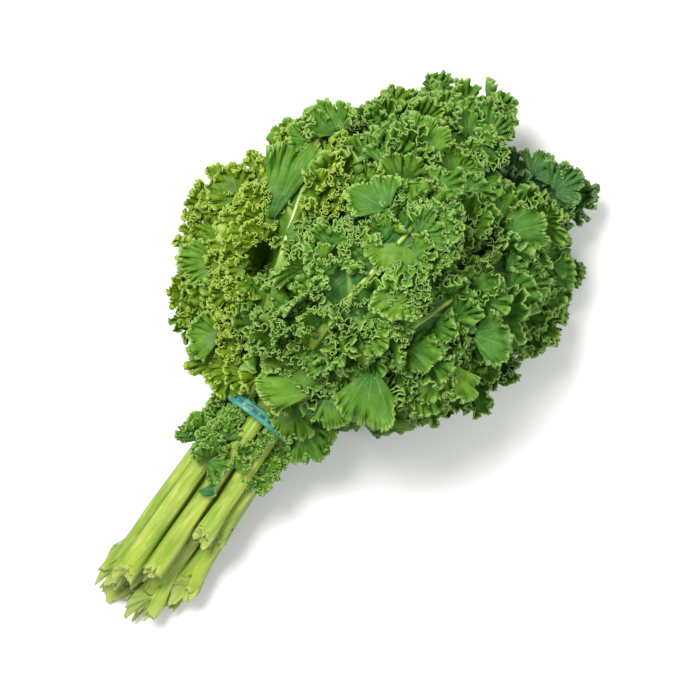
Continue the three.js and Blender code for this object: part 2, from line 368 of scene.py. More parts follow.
def leaf_sheet(rib, height_at, shape, share, across, waves, rng):
    """The whole sheet as a grid of across (rows) by share (columns). A ray runs out from the midrib over the
    pad's sheet. Its slope turns up towards the margin by the angle curl, so its plan reach is the integral of
    the slope's cosine and its rise that of the sine. Then the waves are added, and the part below the floor
    is pressed up."""
    steps = np.linalg.norm(np.diff(rib, axis=0), axis=1)
    rib_length = np.concatenate([[0], np.cumsum(steps)])
    last = rib_length[-1]
    root, reach, forward = leaf_rays(share, last, shape)
    margin_place = np.concatenate([[0], np.cumsum(np.hypot(np.diff(root + forward), np.diff(reach)))])
    low, high = shape["curl"]
    roll = 0.5 + 0.5 * wander(margin_place, shape["lobe_length"], rng)
    bend = np.radians(low + (high - low) * smoothstep(roll, 0.1, 0.9))
    slope = bend * smoothstep(across, shape["turn_up"], 0.97)
    gaps = np.gradient(across, axis=0)
    flat = np.cumsum(np.cos(slope) * gaps, axis=0)
    rise = np.cumsum(np.sin(slope) * gaps, axis=0)
    flat, rise = flat - flat[:1], rise - rise[:1]
    along = root + forward * flat
    sideways = reach * flat
    clipped = np.clip(along, 0, last)
    middle = np.stack([np.interp(clipped, rib_length, rib[:, axis]) for axis in range(3)], axis=-1)
    tangents = np.gradient(rib, rib_length, axis=0)
    tangent = np.stack([np.interp(clipped, rib_length, tangents[:, axis]) for axis in range(3)], axis=-1)
    tangent = unit(tangent)
    middle = middle + (along - clipped)[..., None] * tangent
    side = np.stack([-tangent[..., 1], tangent[..., 0], np.zeros_like(along)], axis=-1)
    points = middle + sideways[..., None] * unit(side)
    leave_rib = smoothstep(np.hypot(sideways, along - root), 1 * MM, RIB_BLEND)
    level = height_at(points[..., 0], points[..., 1])
    points[..., 2] = middle[..., 2] * (1 - leave_rib) + level * leave_rib
    tiny = 1 * MM
    lean_x = (height_at(points[..., 0] + tiny, points[..., 1]) - level) / tiny
    lean_y = (height_at(points[..., 0], points[..., 1] + tiny) - level) / tiny
    upward = unit(np.stack([-lean_x, -lean_y, np.ones_like(level)], axis=-1))
    ray_size = np.hypot(reach, forward)
    beside = margin_place[None, :] * (0.4 + 0.6 * across)
    pucker = shape["pucker"] * puckers(beside, across * ray_size, PUCKER_LENGTH, rng)
    points = points + (rise * ray_size + pucker * smoothstep(across, 0.02, 0.3))[..., None] * upward
    for wave in waves:
        points = ruffle(points, across, rng=rng, **wave)
    return pressed_up(points)


def pressed_up(points, gap=0.5 * MM, soft=3 * MM):
    """Keeps a sheet above the floor: a height z becomes (z + sqrt(z * z + soft * soft)) / 2, which is z when
    high and stays above 0 when low."""
    low = points[..., 2] - gap
    points[..., 2] = gap + (low + np.sqrt(low * low + soft * soft)) / 2
    return points


# %% [markdown]
# ## A mesh that grows finer outward
# The frill needs many points along the margin, but the smooth middle of the leaf doesn't. So the grid keeps
# one column in eight near the midrib and doubles the columns three times on the way out.


# %% Growing grid
def growing_faces(steps, columns):
    """The faces of a grid whose row r keeps every steps[r]-th column. Rows with the same step are joined by
    quads. Where the step halves, each coarse cell becomes three triangles. Returns the faces and, for each
    kept point, its row and column."""
    kept = [np.arange(0, columns, step) for step in steps]
    starts = np.concatenate([[0], np.cumsum([len(row) for row in kept])])
    quads, triangles = [], []
    for row in range(len(steps) - 1):
        inner, outer = starts[row], starts[row + 1]
        cells = np.arange(len(kept[row]) - 1)
        a, b = inner + cells, inner + cells + 1
        if steps[row] == steps[row + 1]:
            quads.append(np.stack([a, outer + cells, outer + cells + 1, b], axis=1))
        else:
            c, d, e = outer + 2 * cells, outer + 2 * cells + 1, outer + 2 * cells + 2
            triangles += [np.stack(three, axis=1) for three in ((a, c, d), (a, d, b), (b, d, e))]
    rows = np.concatenate([np.full(len(row), index) for index, row in enumerate(kept)])
    return np.concatenate(quads), np.concatenate(triangles), rows, np.concatenate(kept)


def mesh_piece(name, points, faces, attributes=None):
    """A new object at the origin with the points, the faces and named values for each point."""
    mesh = bpy.data.meshes.new(name)
    mesh.from_pydata(points.tolist(), [], [face for group in faces for face in group.tolist()])
    for key, values in (attributes or {}).items():
        layer = mesh.attributes.new(key, "FLOAT", "POINT")
        layer.data.foreach_set("value", np.ascontiguousarray(values, dtype=np.float32))
    mesh.polygons.foreach_set("use_smooth", np.ones(len(mesh.polygons), dtype=bool))
    mesh.validate()
    piece = bpy.data.objects.new(name, mesh)
    bpy.context.collection.objects.link(piece)
    return piece


# Rows from the midrib to the margin: how far out each block of rows reaches, its rows and its column step.
ROW_BLOCKS = [(0.0, 0.36, 6, 8), (0.36, 0.62, 6, 4), (0.62, 0.84, 6, 2), (0.84, 1.0, 5, 1)]
EVENED = 0.8  # how far the columns follow the stretched margin rather than the flat one


def block_rows(blocks):
    """The rows of a growing grid: how far out each is, and its column step."""
    across = np.concatenate([np.linspace(low, high, count, endpoint=False) for low, high, count, _ in blocks])
    steps = [step for _, _, count, step in blocks for _ in range(count)] + [blocks[-1][3]]
    return np.append(across, 1.0)[:, None], steps


def leaf_mesh(name, rib, height_at, shape, waves, columns, seed):
    """A leaf blade. A first pass finds how the waves stretch the margin, and the columns are then spaced
    mostly by the stretched margin."""
    across, steps = block_rows(ROW_BLOCKS)
    trial = np.linspace(-1, 1, columns + 1)
    rough = leaf_sheet(rib, height_at, shape, trial, across + 0 * trial, waves, np.random.default_rng(seed))
    stretched = margin_length(rough)
    evened = EVENED * stretched / stretched[-1] + (1 - EVENED) * np.linspace(0, 1, columns + 1)
    share = np.interp(np.linspace(0, 1, columns + 1), evened, trial)
    grid_across = across + 0 * share[None, :]
    points = leaf_sheet(rib, height_at, shape, share, grid_across, waves, np.random.default_rng(seed))
    quads, triangles, rows, kept = growing_faces(steps, columns + 1)
    attributes = {"across": grid_across[rows, kept], "ray": share[kept], "tone": 0 * share[kept]}
    return mesh_piece(name, points[rows, kept], [quads, triangles], attributes)


# %% [markdown]
# ## Leaf colours
# Each side of the leaf and its cut edge have their own look, so the leaf has three materials: the upper side
# is a deep satin green that turns yellow-green towards the margin, the underside is paler and greyer, and the
# thin rim of the margin is pale yellow-green. The three share one pattern of veins and blotches. So the
# pattern is a node group with named inputs, built once, and each material places it with its own colours.


# %% Vein masks
VEIN_PAIRS = 6
NET_CELL = 6.5 * MM
NET_WARP = 9 * MM


def fading_out(graph, across):
    """1 near the midrib and 0 near the margin."""
    return graph.minus(1.0, graph.ramp(across, 0.6, 0.92))


def side_veins(graph, across, ray, swerve):
    """A mask of a leaf's side veins, thin at the midrib and fading out before the margin."""
    turned = graph.plus(graph.times(ray, VEIN_PAIRS), graph.times(swerve, 0.6))
    saw = graph.maths("ABSOLUTE", graph.minus(graph.maths("FRACT", turned, 0.0), 0.5), 0.0)
    line = graph.minus(1.0, graph.ramp(graph.times(saw, graph.plus(across, 0.12)), 0.0, 0.035))
    return graph.times(line, fading_out(graph, across))


def veinlets(graph, place, across):
    """A mask of the net of veinlets between the side veins: the edges of small uneven cells."""
    values = {"Vector": place, "Scale": 1 / NET_WARP, "Detail": 3.0}
    bent = graph.add("ShaderNodeTexNoise", values).outputs["Color"]
    bent = graph.add("ShaderNodeVectorMath", {0: bent, 3: NET_WARP}, operation="SCALE").outputs[0]
    moved = graph.add("ShaderNodeVectorMath", {0: place, 1: bent}, operation="ADD").outputs[0]
    values = {"Vector": moved, "Scale": 1 / NET_CELL}
    cells = graph.add("ShaderNodeTexVoronoi", values, feature="DISTANCE_TO_EDGE")
    line = graph.minus(1.0, graph.ramp(cells.outputs["Distance"], 0.0, 0.09))
    return graph.times(line, fading_out(graph, across))


# %% Leaf pattern
def leaf_pattern():
    """The node group that all leaf materials share. From the point's place and its across, ray and tone
    values it blends the colours that it is given: Inner by the midrib, Outer in the ruffles, Rim at the
    margin, Vein on the veins, Dark in fine blotches, and Sunny or Shady where the tone is above or below
    0."""
    tree = bpy.data.node_groups.new("leaf_pattern", "ShaderNodeTree")
    sockets = {"Place": "Vector", "Across": "Float", "Ray": "Float", "Tone": "Float", "Shine": "Float"}
    sockets |= dict.fromkeys(("Inner", "Outer", "Rim", "Vein", "Dark", "Sunny", "Shady"), "Color")
    for name, kind in sockets.items():
        tree.interface.new_socket(name, in_out="INPUT", socket_type=f"NodeSocket{kind}")
    for name, kind in (("Color", "Color"), ("Roughness", "Float"), ("Normal", "Vector")):
        tree.interface.new_socket(name, in_out="OUTPUT", socket_type=f"NodeSocket{kind}")
    graph = Graph(tree)
    given = graph.add("NodeGroupInput").outputs
    place, across, tone = given["Place"], given["Across"], given["Tone"]
    broad, fine = graph.noise(place, 45 * MM, 2.0), graph.noise(place, 6 * MM, 4.0)
    main, net = side_veins(graph, across, given["Ray"], broad), veinlets(graph, place, across)
    outward = graph.plus(across, graph.times(graph.minus(broad, 0.5), 0.55))
    colour = graph.mix(graph.ramp(outward, 0.35, 0.95), given["Inner"], given["Outer"])
    # Painted light and shade: above 0 the tone moves the colour towards Sunny, a brighter, warmer lit copy,
    # and below 0 towards Shady, a darker, bluer shaded copy.
    colour = graph.mix(graph.times(graph.ramp(tone, 0.0, 1.0), 0.5), colour, given["Sunny"])
    colour = graph.mix(graph.times(graph.ramp(tone, 0.0, -1.0), 0.6), colour, given["Shady"])
    colour = graph.mix(graph.times(graph.ramp(fine, 0.45, 0.8), 0.45), colour, given["Dark"])
    colour = graph.mix(graph.times(main, 0.75), colour, given["Vein"])
    colour = graph.mix(graph.times(net, 0.2), colour, given["Vein"])
    colour = graph.mix(graph.ramp(across, 0.93, 1.0), colour, given["Rim"])
    relief = graph.plus(graph.plus(graph.times(fine, 0.6), graph.times(net, 0.5)), main)
    bump = graph.add("ShaderNodeBump", {"Height": relief, "Strength": 0.35, "Distance": 0.4 * MM})
    shine = graph.plus(given["Shine"], graph.times(broad, 0.2))
    graph.add("NodeGroupOutput", {"Color": colour, "Roughness": shine, "Normal": bump.outputs[0]})
    return tree


LEAF_PATTERN = leaf_pattern()


# %% Leaf materials
def tinted(colour, scales):
    """A colour with each of its channels scaled, up to 1."""
    return tuple(min(channel * scale, 1) for channel, scale in zip(colour, scales))


def leaf_material(name, inner, outer, rim, vein, shine, through):
    """One side of a leaf, with its own colours in the shared pattern, its least roughness, and the share of
    light that comes through the thin sheet."""
    material, graph = new_material(name)
    values = {"Place": graph.place(), "Shine": shine}
    values |= {"Inner": inner, "Outer": outer, "Rim": rim, "Vein": vein}
    values |= {key: graph.attribute(key.lower()) for key in ("Across", "Ray", "Tone")}
    values["Dark"] = tinted(inner, (0.62, 0.62, 0.62))
    # Painted light and shade: Sunny is the outer colour made brighter and warmer, Shady the outer colour made
    # darker and bluer.
    values["Sunny"] = tinted(outer, (1.5, 1.15, 0.9))
    values["Shady"] = tinted(outer, (0.5, 0.72, 1.5))
    look = graph.add("ShaderNodeGroup", values, node_tree=LEAF_PATTERN).outputs
    surface = graph.add("ShaderNodeBsdfPrincipled", {
        "Base Color": look["Color"], "Roughness": look["Roughness"], "Normal": look["Normal"],
        "Specular IOR Level": 0.25,
    })
    glow = graph.add("ShaderNodeBsdfTranslucent", {"Color": look["Color"]})
    graph.finish(graph.add("ShaderNodeMixShader", {0: through, 1: surface.outputs[0], 2: glow.outputs[0]}))
    return material


# Inner, outer, rim and vein colours of the upper side, for each stage of a leaf.
PALETTES = {
    "young": ((0.060, 0.17, 0.006), (0.145, 0.28, 0.008), (0.38, 0.53, 0.09), (0.28, 0.40, 0.06)),
    "full": ((0.031, 0.138, 0.013), (0.103, 0.253, 0.016), (0.275, 0.45, 0.10), (0.22, 0.37, 0.08)),
    "old": ((0.021, 0.108, 0.028), (0.066, 0.200, 0.029), (0.21, 0.375, 0.115), (0.18, 0.33, 0.12)),
}
GREY_GREEN = (0.33, 0.46, 0.22)


def paler(colour, share):
    """A colour moved towards a pale grey-green."""
    return tuple(channel * (1 - share) + pale * share for channel, pale in zip(colour, GREY_GREEN))


def leaf_materials(stage):
    """The upper side, the underside and the rim of a leaf at one stage."""
    inner, outer, rim, vein = PALETTES[stage]
    under = paler(inner, 0.4), paler(outer, 0.16), rim, paler(vein, 0.5)
    return [
        leaf_material(f"kale_{stage}_upper", inner, outer, rim, vein, 0.4, 0.25),
        leaf_material(f"kale_{stage}_under", *under, 0.52, 0.25),
        leaf_material(f"kale_{stage}_rim", rim, rim, rim, rim, 0.4, 0.3),
    ]


LEAF_MATERIALS = {stage: leaf_materials(stage) for stage in PALETTES}


# %% Leaf shapes
LEAF_THICK = 0.55 * MM


def waves_of(crimp):
    """The two waves of a leaf's sheet, the broader first. crimp scales the finer one: a small crimp makes a
    tight frill."""
    return [
        dict(length=30 * MM, height=5 * MM, onset=0.08, bulge=0.2, fall=1.2),
        dict(length=14 * MM * crimp, height=2.6 * MM * crimp, onset=0.34, bulge=0.3, fall=1.4),
    ]


def leaf_shape(half, tip, curl):
    """The sizes that set a leaf's sheet: half width, reach beyond the midrib's end, the least and the most
    that the margin turns up (degrees) and where that starts, the lobes on each side and the depth of the
    notches between them, how long the lobes are, how high the sheet puckers, and the share of its width that
    is left at its base."""
    shape = dict(half=half, tip=tip, curl=curl, turn_up=0.3, lobes=3.5, notch=0.25)
    return shape | dict(lobe_length=30 * MM, pucker=1.3 * MM, base=0.4)


# The looks of each leaf: its stage, the most that its margin turns up (degrees), its crimp, its number of
# columns, and the size of its lobes and the gaps between their roots (mm).
LEAF_LOOKS = {
    1: ("old", 25, 1.0, 560, 26, 26), 2: ("full", 30, 1.0, 560, 22, 18),
    3: ("full", 30, 1.0, 560, 22, 20), 4: ("old", 30, 1.0, 480, 20, 18),
    5: ("full", 30, 0.9, 560, 18, 16), 6: ("old", 30, 1.0, 640, 22, 15),
    7: ("full", 30, 1.0, 640, 20, 14), 8: ("full", 30, 1.0, 560, 21, 15),
    9: ("young", 30, 0.8, 640, 15, 10.5), 10: ("full", 30, 1.0, 640, 22, 14),
    11: ("full", 30, 1.0, 640, 21, 13), 12: ("young", 30, 0.8, 640, 14, 9.5),
    13: ("full", 30, 1.0, 560, 20, 13), 14: ("full", 30, 0.9, 560, 18, 11),
}


def finish_leaf(piece, stage, node):
    """Gives a sheet its three materials and its thickness, and puts it in the frame."""
    for material in LEAF_MATERIALS[stage]:
        piece.data.materials.append(material)
    solid = piece.modifiers.new("thickness", "SOLIDIFY")
    solid.thickness = LEAF_THICK
    solid.offset = 0
    solid.material_offset = 1
    solid.material_offset_rim = 2
    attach(piece, "root")
    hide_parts(node)


# %% [markdown]
# ## Lobes
# A kale leaf's margin is parted into lobes, and each lobe is a little fan with a frilled edge of its own. The
# lobes stand up from the sheet and crowd over each other, and in a bunch they hide nearly all of the sheet
# below.


# %% One lobe
FAN_BLOCKS = [(0.05, 0.5, 4, 8), (0.5, 0.76, 3, 4), (0.76, 0.9, 2, 2), (0.9, 1.0, 2, 1)]
# Columns of a lobe that lies under other leaves, of a common lobe, of one that is placed by itself, of a
# leaflet's lobe and of the scrap.
HIDDEN_COLUMNS, LOBE_COLUMNS, PLACED_COLUMNS, LEAFLET_COLUMNS, SCRAP_COLUMNS = 88, 152, 200, 104, 80
TOOTH, TOOTH_LENGTH = 1.7 * MM, 1.9 * MM
FOLDED_SIZE = 26 * MM  # lobes above this size have no deeper folds than one of this size


def fan_points(size, span, bend, frill, columns, rng, smooth=0.0):
    """A lobe in its own frame: its root at the origin, out along X, its top facing Z. It spans the angle span
    on each side of X, and its rays bend down by the angle bend on the way out. frill scales the two waves.
    smooth is the share of the lobe that they leave nearly flat."""
    across, _ = block_rows(FAN_BLOCKS)
    share = np.linspace(-1, 1, columns + 1)
    notch = np.clip(np.cos(np.pi * rng.uniform(1.5, 2.6) * share + rng.uniform(0, 6)), 0, 1) ** 4
    reach = size * (1 - 0.25 * share**2) * (1 + 0.22 * wander(share, 0.5, rng))
    reach = reach * (1 - 0.3 * (1 - smooth) * notch)
    phase = share * span * size / TOOTH_LENGTH + 0.6 * wander(share, 0.09, rng)
    teeth = np.abs(np.sin(np.pi * phase)) ** 0.7
    reach = reach + TOOTH * (teeth - 0.6) * smoothstep(across, 0.82, 1.0)
    turn = bend * across**1.4
    gaps = np.gradient(across, axis=0)
    flat, drop = np.cumsum(np.cos(turn) * gaps, axis=0), np.cumsum(np.sin(turn) * gaps, axis=0)
    x, y = reach * flat * np.cos(span * share), reach * flat * np.sin(span * share)
    trough = rng.uniform(-0.3, 0.9) / size
    points = np.stack([x, y, trough * y * y - reach * drop], axis=-1)
    whole = across + 0 * share
    ahead, aside = size * across * np.cos(span * share), size * across * np.sin(span * share)
    swells = puckers(ahead, aside, 0.7 * size, rng)
    points[..., 2] += (0.06 + 0.05 * smooth) * size * swells * across
    fold = 0.16 * frill * min(size, FOLDED_SIZE) * (1 - 0.7 * smooth)
    fold_length = rng.uniform(12, 18) * MM * (1 + 0.5 * smooth)
    points = ruffle(points, whole, fold_length, fold, 0.15 + 0.6 * smooth, rng, 0.25, 1.2)
    fine, fine_length = (1.6 - 0.3 * smooth) * MM * frill, rng.uniform(4.8, 6.4) * MM
    points = ruffle(points, whole, fine_length, fine, 0.55 + 0.3 * smooth, rng, 0.35, 1.2)
    return points, whole, share


class Patch:
    """Collects the grids of many lobes, to make one mesh of them."""

    def __init__(self):
        self.points, self.quads, self.triangles, self.values, self.count = [], [], [], [], 0

    def add(self, points, steps, across, ray, tone):
        """Adds a growing grid, with its values of across and ray, and one tone for all of it."""
        quads, triangles, rows, kept = growing_faces(steps, points.shape[1])
        self.points.append(points[rows, kept])
        self.quads.append(quads + self.count)
        self.triangles.append(triangles + self.count)
        self.values.append(np.stack([across[rows, kept], ray[kept], np.full(len(rows), tone)]))
        self.count += len(rows)

    def mesh(self, name):
        """The mesh of everything that was added."""
        faces = [np.concatenate(self.quads), np.concatenate(self.triangles)]
        values = np.concatenate(self.values, axis=1)
        named = {"across": values[0], "ray": values[1], "tone": values[2]}
        return mesh_piece(name, np.concatenate(self.points), faces, named)


def add_fan(
    patch, root, out, top, size, rng, bend, span=None, frill=1.0, columns=LOBE_COLUMNS, tone=None, smooth=0.0,
):
    """Adds a lobe with its root at a point, turned so that it grows along out and its upper side faces top. A
    span or a tone that isn't given is drawn."""
    span = math.radians(rng.uniform(62, 105)) if span is None else span
    points, across, share = fan_points(size, span, bend, frill, columns, rng, smooth)
    out = unit(out)
    side = unit(np.cross(top, out))
    placed = root + points @ np.stack([out, side, np.cross(out, side)])
    _, steps = block_rows(FAN_BLOCKS)
    # A drawn tone paints the lobe lighter or darker at random: painted light and shade.
    tone = rng.uniform(-1, 1) if tone is None else tone
    patch.add(held_in(placed), steps, 0.35 + 0.65 * across, share * 0.3 + rng.uniform(-1, 1), tone)


TOP_LIMIT, TOP_EASE = 150 * MM, 22 * MM


def held_in(points):
    """Keeps a sheet above the floor, and eases it down where it would stand far above the crown's dome."""
    points = pressed_up(points)
    over = np.maximum(points[..., 2] - TOP_LIMIT, 0)
    points[..., 2] = np.minimum(points[..., 2], TOP_LIMIT) + TOP_EASE * np.tanh(over / TOP_EASE)
    return points


# %% Make the leaf blades
BLADE_START = 24 * MM  # how far above the tie the blades begin
SHEET_SHARE = 0.84  # how much of the leaf's outline its sheet fills; its lobes fill the rest


def cover_tree(number):
    """A search tree of the pads of all the leaves that lie above a leaf: above leaf 0 lie all of them."""
    above = [triangles_of(f"blade_{other:02d}") for other in range(number + 1, LEAF_COUNT + 1)]
    if not above:
        return None
    corners = np.concatenate(above).reshape(-1, 3)
    return BVHTree.FromPolygons(corners.tolist(), np.arange(len(corners)).reshape(-1, 3).tolist())


CROWN_TREE = cover_tree(0)


def cover_over(tree, root):
    """How high the lowest pad above a point is over it, or None where nothing covers it."""
    if tree is None:
        return None
    _, _, _, distance = tree.ray_cast(Vector(root) + Vector((0, 0, 2 * MM)), Vector((0, 0, 1)))
    return distance


# Lobes that are placed one by one: the broad smooth ones on top of the crown, and small ones at its rim and
# by the tie. at is the root's place (mm from the tie), heading the direction it grows in (degrees from +X),
# rise how steeply (degrees), size its length (mm), and span and bend are angles (degrees).
# A lobe's tone paints it with the lit copy of its colour above 0 and the shaded copy below 0: painted light
# and shade.
LOBE_FIELDS = ("leaf", "at", "heading", "rise", "size", "span", "bend", "frill", "tone", "smooth")
PLACED_LOBES = [dict(zip(LOBE_FIELDS, row)) for row in (
    (14, (38, -26), 98, 8, 40, 56, 20, 1.0, 0.8, 0.65),
    (13, (72, -46), 208, 4, 44, 46, 35, 0.95, -0.1, 0.75),
    (13, (108, -80), 215, 10, 30, 66, 30, 1.0, 0.8, 0.6),
    (10, (132, -84), 300, 5, 34, 56, 25, 0.95, -0.8, 0.7),
    (14, (148, -10), 200, 12, 31, 70, 15, 1.0, 1.0, 0.6),
    (14, (128, -34), 160, 14, 27, 70, 15, 1.0, 0.7, 0.5),
    (11, (205, -58), 330, 6, 29, 60, 20, 1.0, -0.7, 0.55),
    (7, (105, 72), 19, 10, 74, 20, 26, 0.6, -0.1, 0.55),
    (12, (104, 58), -40, 10, 31, 52, 20, 0.9, -0.7, 0.6),
    (11, (205, 22), 20, 12, 31, 66, 25, 1.0, 0.3, 0.5),
    (11, (160, 10), 80, 10, 29, 60, 25, 1.0, -0.5, 0.55),
    (5, (66, 86), 130, 2, 25, 66, 15, 1.0, 0.6, 0.4),
    (5, (26, 54), 115, 2, 24, 66, 15, 1.0, 0.5, 0.4),
    (9, (112, 106), 88, 2, 26, 70, 15, 1.0, -0.2, 0.45),
    (7, (186, 74), 62, 6, 24, 75, 15, 1.1, -0.2, 0.2),
    (7, (172, 84), 82, 4, 22, 75, 20, 1.1, 0.1, 0.2),
    (7, (200, 62), 50, 4, 24, 75, 25, 1.1, -0.3, 0.1),
    (6, (256, -66), -22, 8, 24, 70, 20, 1.0, -0.2, 0.3),
    (6, (256, -48), -4, 8, 22, 70, 20, 1.0, 0.1, 0.3),
    (12, (16, 22), 120, 20, 17, 80, 20, 1.0, 0.4, 0.0),
    (12, (14, 34), 160, 10, 20, 80, 20, 1.0, 0.2, 0.1),
    (9, (16, 44), 140, 5, 22, 80, 20, 1.0, -0.3, 0.2),
    (12, (24, 12), 80, 25, 20, 80, 30, 1.0, 0.6, 0.1),
    (14, (22, -14), 215, 14, 26, 60, 40, 0.9, 0.5, 0.4),
    (14, (16, -28), 228, 6, 26, 60, 40, 1.0, 0.2, 0.3),
    (13, (38, -32), 252, 5, 22, 70, 35, 0.9, 0.1, 0.3),
    (13, (22, -32), 240, 0, 22, 70, 35, 1.0, 0.0, 0.2),
    (10, (54, -48), 262, 2, 20, 70, 25, 1.0, -0.2, 0.2),
)]
ROOT_LIFT = 4 * MM  # how far above the crown's pads the roots of these lobes are


def from_tie(point):
    """A point's x and y in mm from the tie's middle."""
    return (point[0] - TIE_X) / MM, (point[1] - tie_middle.y) / MM


def on_crown(x, y):
    """A point of the crown's top: where a line straight down at x and y (mm from the tie) meets the highest
    pad, or the top of the bundle in the tie where that is higher."""
    start = Vector((TIE_X + x * MM, tie_middle.y + y * MM, 1))
    hit = CROWN_TREE.ray_cast(start, Vector((0, 0, -1)))[0]
    half_width, half_height = tie_size.y / 2, tie_size.z / 2
    bundle = tie_middle.z + half_height * math.sqrt(max(1 - (y * MM / half_width) ** 2, 0))
    return np.array([start.x, start.y, max(hit.z if hit else 0, bundle)])


def directions_of(turn, rise):
    """The way that a lobe grows and the way that its upper side faces, for its heading and its rise in
    radians."""
    flat = np.array([math.cos(turn), math.sin(turn), 0])
    out = flat * math.cos(rise) + np.array([0, 0, math.sin(rise)])
    return out, np.array([0, 0, math.cos(rise)]) - flat * math.sin(rise)


def add_placed_lobes(patch, number, rng):
    """Adds a leaf's own lobes from the list."""
    for lobe in PLACED_LOBES:
        if lobe["leaf"] != number:
            continue
        root = on_crown(*lobe["at"]) + np.array([0, 0, ROOT_LIFT])
        heading, rise, bend, span = (math.radians(lobe[name]) for name in ("heading", "rise", "bend", "span"))
        out, top = directions_of(heading, rise)
        looks = lobe["frill"], PLACED_COLUMNS, lobe["tone"], lobe["smooth"]
        add_fan(patch, root, out, top, lobe["size"] * MM, rng, bend, span, *looks)


def in_clearing(root):
    """Whether a point lies under a placed lobe, where no other lobe may stand."""
    x, y = from_tie(root)
    for lobe in PLACED_LOBES:
        turn, reach = math.radians(lobe["heading"]), 0.5 * lobe["size"]
        middle = lobe["at"][0] + reach * math.cos(turn), lobe["at"][1] + reach * math.sin(turn)
        if math.hypot(x - middle[0], y - middle[1]) < 0.3 * lobe["size"]:
            return True
    return False


SWELL = 7 * MM  # how much higher or lower than its sheet a lobe's root may stand, in broad swells
SWELL_RNG = np.random.default_rng(77)
SWELL_WAVES = [(SWELL_RNG.uniform(0, 2 * np.pi), SWELL_RNG.uniform(0, 2 * np.pi)) for _ in range(9)]
SWELL_LENGTH, SWELL_MOST = 60 * MM, 3.2  # the waves' length, and the most that their sum usually reaches
# Hollows between the leaves, where the crown is open to the dark inside: place (mm from the tie) and radius
# (mm).
HOLLOWS = [
    (84, 61, 12), (89, 53, 15), (96, 45, 12), (150, 18, 6), (116, -22, 7), (190, -20, 7), (150, -62, 8),
    (220, 30, 7),
]
HOLLOW_DEPTH = 26 * MM
DEEPEST_LEAVES = 5  # the number of lowest leaves, which the hollows don't reach
WAIST_START, WAIST_SLOPE = 4, 0.98  # the edge of the waist: y at the tie in mm, and its fall for each mm of x


def sunk_in_hollows(height_at):
    """A sheet's height function, with the sheet sunk deep into each hollow."""

    def height(x, y):
        level = height_at(x, y)
        for across, side, radius in HOLLOWS:
            away = np.hypot(x - TIE_X - across * MM, y - tie_middle.y - side * MM) / (radius * MM)
            level = level - HOLLOW_DEPTH * np.exp(-(away**2))
        return level

    return height


def crown_swell(root):
    """Broad swells of the crown, from about -1 to 1: a sum of plane waves, over the most it usually
    reaches."""
    rate = 2 * np.pi / SWELL_LENGTH
    field = sum(math.sin(rate * (math.cos(a) * root[0] + math.sin(a) * root[1]) + b) for a, b in SWELL_WAVES)
    return field / SWELL_MOST


def past_waist(root):
    """Whether a point lies outside the crown's waist, which narrows towards the tie on the side that faces
    -Y. Its edge is a straight line."""
    x, y = from_tie(root)
    return y < WAIST_START - WAIST_SLOPE * x


def in_hollow(root):
    """Whether a point lies in one of the hollows."""
    x, y = from_tie(root)
    return any(math.hypot(x - hollow[0], y - hollow[1]) < hollow[2] for hollow in HOLLOWS)


# The least and the most that the margins of a leaf's lobes point up from its sheet (degrees).
MARGIN_FACING = {"young": (30, 95), "full": (5, 85), "old": (-5, 75)}
SHEET_ROWS, SHEET_COLUMNS = 25, 241  # the grid of places where a root may be
LOBE_TRIES = 2600
LAST_ROOT = 0.82  # no root is further out than this share of the sheet
DEEP = 11 * MM  # a root with a pad further above it than this is left out
MARGIN_ROW = 17  # from this row on a root is near the leaf's own margin, and is kept under other leaves too
STEEP_ROW, FREE_ROW = 8, 5  # up to these rows the lobes stand more steeply, and turn more freely
LIT_MIDDLE, LIT_HALF = 10 * MM, 60 * MM  # lobes are sunnier towards +Y, over this half width round a middle


def add_lobes(patch, number, stage, rib, height_at, shape, size, gap, rng):
    """Crowds a leaf's sheet with lobes. Their roots are random points of the sheet at least gap apart. Most
    roots under other leaves are left out, except near the leaf's own margin."""
    calm = dict(shape, curl=(0, 0), pucker=0.0)
    share, across = np.linspace(-1, 1, SHEET_COLUMNS), np.linspace(0, 1, SHEET_ROWS)[:, None]
    sheet = leaf_sheet(rib, height_at, calm, share, across + 0 * share, [], rng)
    _, normal = directions(sheet)
    outward = unit(np.gradient(sheet, axis=0))
    tree = cover_tree(number)
    roots = np.empty((0, 3))
    for _ in range(LOBE_TRIES):
        row = int((SHEET_ROWS - 1) * min(rng.uniform(0.12, 1.02) ** 0.6, LAST_ROOT))
        column = int(rng.integers(4, SHEET_COLUMNS - 4))
        root = sheet[row, column]
        if len(roots) and np.linalg.norm(roots - root, axis=1).min() < gap:
            continue
        cover = cover_over(tree, root)
        hidden = cover is not None
        if hidden and (cover > DEEP or rng.uniform() < 0.5) and row < MARGIN_ROW:
            continue
        if in_hollow(root) or past_waist(root) or (not hidden and in_clearing(root)):
            continue
        roots = np.vstack([roots, root])
        root = root + np.array([0, 0, 0 if hidden else SWELL * crown_swell(root)])
        # Painted light and shade: the tone picks how much of the lit or shaded copy a lobe gets. It rises
        # towards +Y, the key lamp's side, and varies at random from lobe to lobe.
        lit_side = np.clip((root[1] - tie_middle.y - LIT_MIDDLE) / LIT_HALF, -1, 1)
        tone = 0.45 * lit_side + 0.6 * rng.uniform(-1, 1)
        rise = math.radians(rng.uniform(8, 62) if row > STEEP_ROW else rng.uniform(35, 85))
        yaw = math.radians(rng.uniform(-50, 50) if row > FREE_ROW else rng.uniform(-110, 110))
        up_here, out_here = normal[row, column], outward[row, column]
        turned = math.cos(yaw) * out_here + math.sin(yaw) * np.cross(up_here, out_here)
        out = math.cos(rise) * turned + math.sin(rise) * up_here
        top = math.cos(rise) * up_here - math.sin(rise) * turned
        bend = rise - math.radians(rng.uniform(*MARGIN_FACING[stage]))
        columns = HIDDEN_COLUMNS if hidden else LOBE_COLUMNS
        lobe_size = size * rng.uniform(0.72, 1.28)
        add_fan(patch, root, out, top, lobe_size, rng, bend, columns=columns, tone=tone)
    return len(roots)


